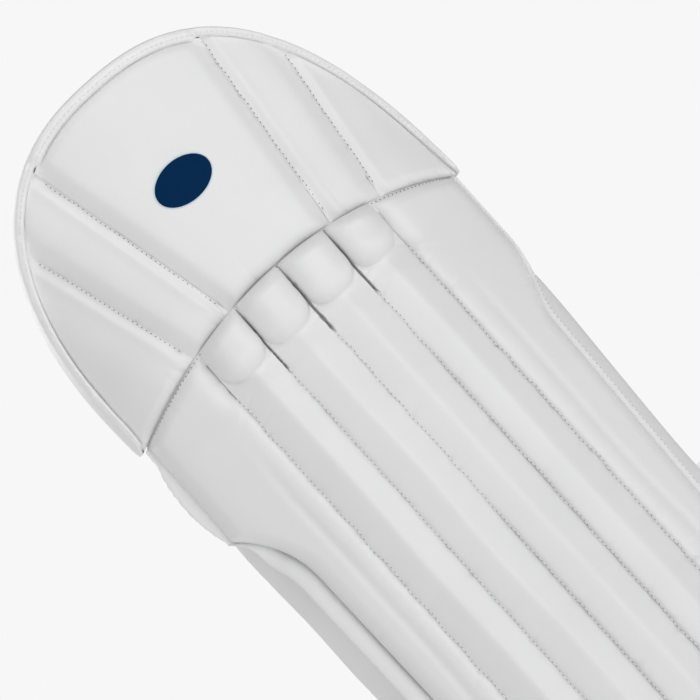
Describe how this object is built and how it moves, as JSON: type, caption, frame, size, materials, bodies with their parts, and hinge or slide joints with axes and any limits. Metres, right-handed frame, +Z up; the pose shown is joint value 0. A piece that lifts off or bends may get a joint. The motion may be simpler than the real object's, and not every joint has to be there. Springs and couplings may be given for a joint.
{
  "type": "cricket leg pad",
  "caption": "White padded leg guard with a domed top over the knee, knee rolls, long shin ribs, side wings, an instep flap and back straps.",
  "frame": {"origin": "middle of the pad's box at floor level, under its standing edges", "axes": "+Z up the leg as worn, the face to -Y, the leg and the straps to +Y, +X to the right seen from the front"},
  "size_m": [0.2513, 0.1624, 0.696],
  "materials": {
    "leather_cloth": "satin",
    "foam": "matte",
    "lining": "matte",
    "cane": "satin",
    "badge": "gloss",
    "ring": "polished",
    "hook_and_loop": "matte",
    "webbing": "matte"
  },
  "bodies": {
    "shin": {"channel_cover_1": "leather_cloth", "channel_cover_2": "leather_cloth", "channel_cover_3": "leather_cloth", "channel_cover_4": "leather_cloth", "channel_foam_1": "foam", "channel_foam_2": "foam", "channel_foam_3": "foam", "channel_foam_4": "foam", "knee_roll_cover_1": "leather_cloth", "knee_roll_cover_2": "leather_cloth", "knee_roll_cover_3": "leather_cloth", "knee_roll_cover_4": "leather_cloth", "knee_roll_foam_1": "foam", "knee_roll_foam_2": "foam", "knee_roll_foam_3": "foam", "knee_roll_foam_4": "foam", "cane_rods": "cane", "shin_lining": "lining", "shin_bolster_left": "lining", "shin_bolster_right": "lining", "knee_cup": "lining", "outer_cover_left": "leather_cloth", "outer_foam_left": "foam", "outer_edge_left": "leather_cloth", "outer_cover_right": "leather_cloth", "outer_foam_right": "foam", "outer_edge_right": "leather_cloth", "strap_keeper_knee": "webbing", "strap_knee": "webbing", "strap_keeper_calf": "webbing", "strap_calf": "webbing", "strap_keeper_ankle": "webbing", "strap_ankle": "webbing", "loop_patches": "hook_and_loop", "strap_rings": "ring"},
    "top_hat": {"hat_centre_cover": "leather_cloth", "hat_centre_foam": "foam", "hat_inner_left_cover": "leather_cloth", "hat_inner_left_foam": "foam", "hat_inner_right_cover": "leather_cloth", "hat_inner_right_foam": "foam", "hat_outer_left_cover": "leather_cloth", "hat_outer_left_foam": "foam", "hat_outer_right_cover": "leather_cloth", "hat_outer_right_foam": "foam", "hat_rim_binding": "leather_cloth", "hat_lining": "lining", "hat_badge": "badge"},
    "instep": {"instep_cover": "leather_cloth", "instep_foam": "foam"},
    "wing_left": {"wing_cover_left": "leather_cloth", "wing_foam_left": "foam"},
    "wing_right": {"wing_cover_right": "leather_cloth", "wing_foam_right": "foam"},
    "tab_knee": {"strap_tab_knee": "webbing", "hook_patch_knee": "hook_and_loop"},
    "tab_calf": {"strap_tab_calf": "webbing", "hook_patch_calf": "hook_and_loop"},
    "tab_ankle": {"strap_tab_ankle": "webbing", "hook_patch_ankle": "hook_and_loop"}
  },
  "joints": [
    {"name": "knee_flex", "type": "hinge", "parent": "shin", "child": "top_hat", "pos_m": [0, -0.0672, 0.547], "axis": [1, 0, 0], "range_deg": [0, 18], "stiffness_Nm_per_rad": 6},
    {"name": "instep_lift", "type": "hinge", "parent": "shin", "child": "instep", "pos_m": [0, -0.0672, 0.048], "axis": [-1, 0, 0], "range_deg": [0, 25], "stiffness_Nm_per_rad": 0.3},
    {"name": "wing_left_flex", "type": "hinge", "parent": "shin", "child": "wing_left", "pos_m": [-0.07326, -0.01897, 0], "axis": [-0.0273, 0.0246, 0.9993], "range_deg": [-14, 9], "stiffness_Nm_per_rad": 1.5},
    {"name": "wing_right_flex", "type": "hinge", "parent": "shin", "child": "wing_right", "pos_m": [0.07326, -0.01897, 0], "axis": [-0.0273, -0.0246, -0.9993], "range_deg": [-14, 9], "stiffness_Nm_per_rad": 1.5},
    {"name": "tab_knee_peel", "type": "hinge", "parent": "shin", "child": "tab_knee", "pos_m": [-0.04212, 0.06425, 0.486], "axis": [0, 0, 1], "range_deg": [0, 100]},
    {"name": "tab_calf_peel", "type": "hinge", "parent": "shin", "child": "tab_calf", "pos_m": [-0.03973, 0.0644, 0.32], "axis": [0, 0, 1], "range_deg": [0, 100]},
    {"name": "tab_ankle_peel", "type": "hinge", "parent": "shin", "child": "tab_ankle", "pos_m": [-0.03499, 0.0647, 0.14], "axis": [0, 0, 1], "range_deg": [0, 100]}
  ]
}
